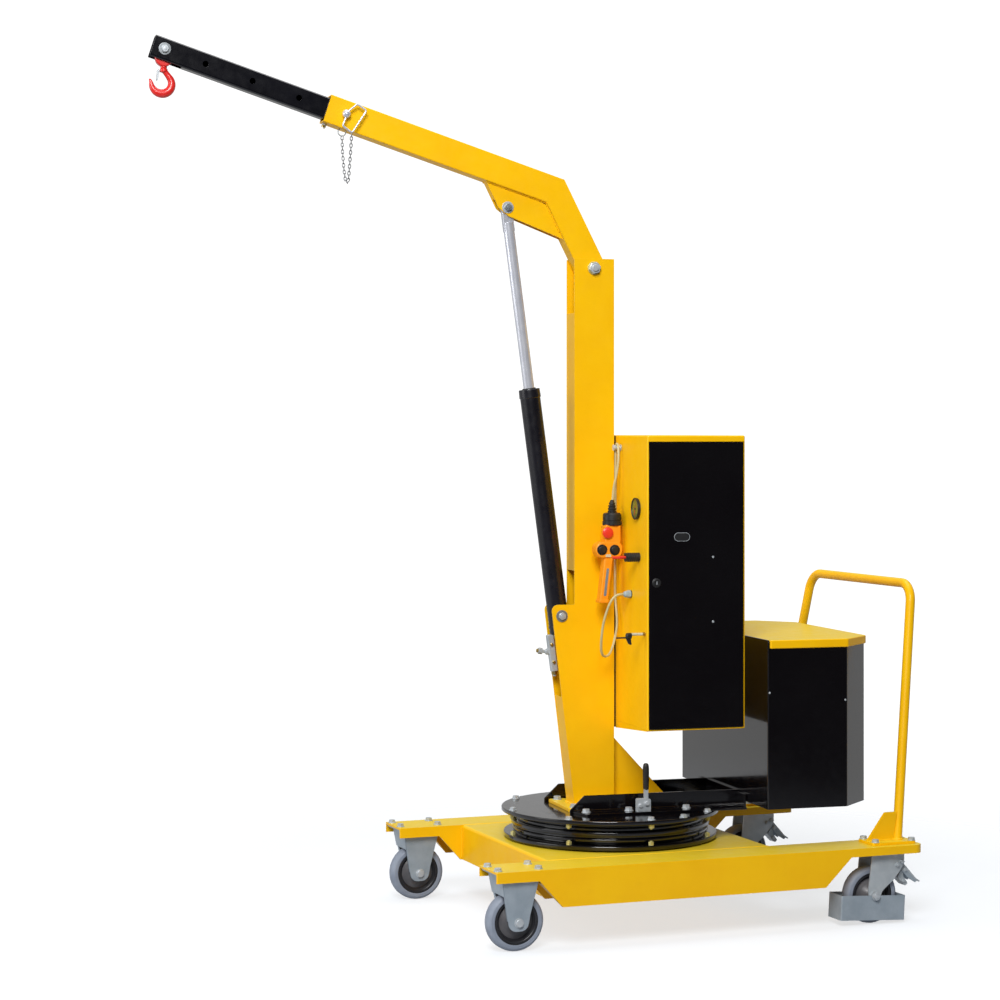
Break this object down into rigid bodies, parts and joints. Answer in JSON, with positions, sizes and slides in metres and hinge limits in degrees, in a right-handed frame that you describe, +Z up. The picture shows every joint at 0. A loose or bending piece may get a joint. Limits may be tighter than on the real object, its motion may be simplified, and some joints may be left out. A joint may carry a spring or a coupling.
{
  "type": "mobile floor crane",
  "caption": "Counterbalanced floor crane on castors: slewing column with luffing, telescoping jib, hydraulic cylinder, hook, power cabinet, ballast box and push handle.",
  "frame": {"origin": "on the floor, on the slewing axis", "axes": "+Z up; -X towards the front, where the jib points; +X towards the push handle; +Y to the right of someone at the handle who faces the jib"},
  "size_m": [2.1519, 0.926, 2.4641],
  "materials": {
    "yellow_paint": "gloss",
    "black_paint": "gloss",
    "zinc_steel": "zinc plated",
    "chrome_rod": "polished",
    "grey_tyre": "matt",
    "rim_black": "satin",
    "red_paint": "gloss",
    "orange_plastic": "moulded",
    "black_plastic": "moulded",
    "grey_plastic": "moulded",
    "cable_cover": "smooth",
    "brass_valve": "machined"
  },
  "bodies": {
    "chassis": {"left_side_beam": "yellow_paint", "right_side_beam": "yellow_paint", "turntable_deck": "yellow_paint", "turntable_base_disc": "black_paint", "slewing_ring_race": "black_paint", "front_castor_forks": "zinc_steel", "rear_castor_plates": "zinc_steel", "push_handle": "yellow_paint", "handle_brackets": "yellow_paint"},
    "slewing_frame": {"slewing_ring_rotor": "black_paint", "turntable_top_disc": "black_paint", "frame_rails": "black_paint", "column": "yellow_paint", "column_foot": "yellow_paint", "jib_pivot_bolt": "zinc_steel", "cabinet_shell": "yellow_paint", "pressure_gauge": "black_plastic", "battery_switch": "black_plastic", "cable_gland": "grey_plastic", "drain_valve": "brass_valve", "cable_hook": "zinc_steel", "lock_bracket": "zinc_steel", "counterweight": "black_paint", "counterweight_lid": "yellow_paint", "pendant_control": "orange_plastic", "pendant_cable": "cable_cover"},
    "door": {"cabinet_door": "black_paint"},
    "lock_lever": {"lock_lever": "black_plastic"},
    "jib": {"jib_arm": "yellow_paint", "jib_lock_pin": "zinc_steel"},
    "extension": {"jib_extension": "black_paint"},
    "hook_eye": {"hook_eye": "red_paint"},
    "hook": {"load_hook": "red_paint"},
    "latch": {"hook_latch": "zinc_steel"},
    "barrel": {"cylinder_barrel": "black_paint", "cylinder_valve": "zinc_steel"},
    "rod": {"cylinder_rod": "chrome_rod"},
    "front_left_wheel": {"front_left_tyre": "grey_tyre", "front_left_rim": "rim_black"},
    "front_right_wheel": {"front_right_tyre": "grey_tyre", "front_right_rim": "rim_black"},
    "rear_left_wheel": {"rear_left_tyre": "grey_tyre", "rear_left_rim": "rim_black"},
    "rear_right_wheel": {"rear_right_tyre": "grey_tyre", "rear_right_rim": "rim_black"},
    "rear_left_castor": {"rear_left_fork": "zinc_steel", "rear_left_foot_guard": "zinc_steel"},
    "rear_left_brake": {"rear_left_brake_pedal": "zinc_steel"},
    "rear_right_castor": {"rear_right_fork": "zinc_steel", "rear_right_foot_guard": "zinc_steel"},
    "rear_right_brake": {"rear_right_brake_pedal": "zinc_steel"}
  },
  "joints": [
    {"name": "slew", "type": "hinge", "parent": "chassis", "child": "slewing_frame", "pos_m": [0, 0, 0.3], "axis": [0, 0, 1], "continuous": true},
    {"name": "luff", "type": "hinge", "parent": "slewing_frame", "child": "jib", "pos_m": [-0.06077, 0.00532, 1.848], "axis": [0.0872, 0.9962, 0], "range_deg": [-55, 6]},
    {"name": "cylinder_tilt", "type": "hinge", "parent": "slewing_frame", "child": "barrel", "pos_m": [-0.1564, 0.01368, 0.857], "axis": [0.0872, 0.9962, 0], "range_deg": [-6.5, 1.5]},
    {"name": "rod_slide", "type": "slide", "parent": "barrel", "child": "rod", "axis": [-0.1311, 0.0115, 0.9913], "range_m": [-0.27, 0.035]},
    {"name": "extension_slide", "type": "slide", "parent": "jib", "child": "extension", "axis": [-0.9485, 0.083, 0.3057], "range_m": [-0.41, 0]},
    {"name": "hook_swing", "type": "hinge", "parent": "extension", "child": "hook_eye", "pos_m": [-1.28049, 0.11203, 2.42545], "axis": [-0.0872, -0.9962, 0], "range_deg": [-55, 6]},
    {"name": "hook_swivel", "type": "hinge", "parent": "hook_eye", "child": "hook", "pos_m": [-1.28049, 0.11203, 2.37045], "axis": [0, 0, 1], "continuous": true},
    {"name": "latch_press", "type": "hinge", "parent": "hook", "child": "latch", "pos_m": [-1.29493, 0.11329, 2.36645], "axis": [-0.0872, -0.9962, 0], "range_deg": [0, 30], "stiffness_Nm_per_rad": 0.2},
    {"name": "door_hinge", "type": "hinge", "parent": "slewing_frame", "child": "door", "pos_m": [0.26079, -0.335, 0.9555], "axis": [0, 0, 1], "range_deg": [0, 115]},
    {"name": "lock_throw", "type": "hinge", "parent": "slewing_frame", "child": "lock_lever", "pos_m": [0.03009, -0.18382, 0.338], "axis": [0.0872, 0.9962, 0], "range_deg": [0, 80]},
    {"name": "front_left_roll", "type": "hinge", "parent": "chassis", "child": "front_left_wheel", "pos_m": [-0.452, -0.399, 0.08], "axis": [0, 1, 0], "continuous": true},
    {"name": "front_right_roll", "type": "hinge", "parent": "chassis", "child": "front_right_wheel", "pos_m": [-0.452, 0.399, 0.08], "axis": [0, 1, 0], "continuous": true},
    {"name": "rear_left_swivel", "type": "hinge", "parent": "chassis", "child": "rear_left_castor", "pos_m": [0.679, -0.399, 0.19], "axis": [0, 0, 1], "continuous": true},
    {"name": "rear_left_roll", "type": "hinge", "parent": "rear_left_castor", "child": "rear_left_wheel", "pos_m": [0.62, -0.399, 0.08], "axis": [0, 1, 0], "continuous": true},
    {"name": "rear_left_brake_press", "type": "hinge", "parent": "rear_left_castor", "child": "rear_left_brake", "pos_m": [0.704, -0.399, 0.172], "axis": [0, 1, 0], "range_deg": [0, 12]},
    {"name": "rear_right_swivel", "type": "hinge", "parent": "chassis", "child": "rear_right_castor", "pos_m": [0.679, 0.399, 0.19], "axis": [0, 0, 1], "continuous": true},
    {"name": "rear_right_roll", "type": "hinge", "parent": "rear_right_castor", "child": "rear_right_wheel", "pos_m": [0.62, 0.399, 0.08], "axis": [0, 1, 0], "continuous": true},
    {"name": "rear_right_brake_press", "type": "hinge", "parent": "rear_right_castor", "child": "rear_right_brake", "pos_m": [0.704, 0.399, 0.172], "axis": [0, 1, 0], "range_deg": [0, 12]}
  ],
  "couplings": [
    {"joint": "cylinder_tilt", "follows": "luff", "ratio": 0.09945},
    {"joint": "rod_slide", "follows": "luff", "m_per_rad": 0.27272}
  ]
}
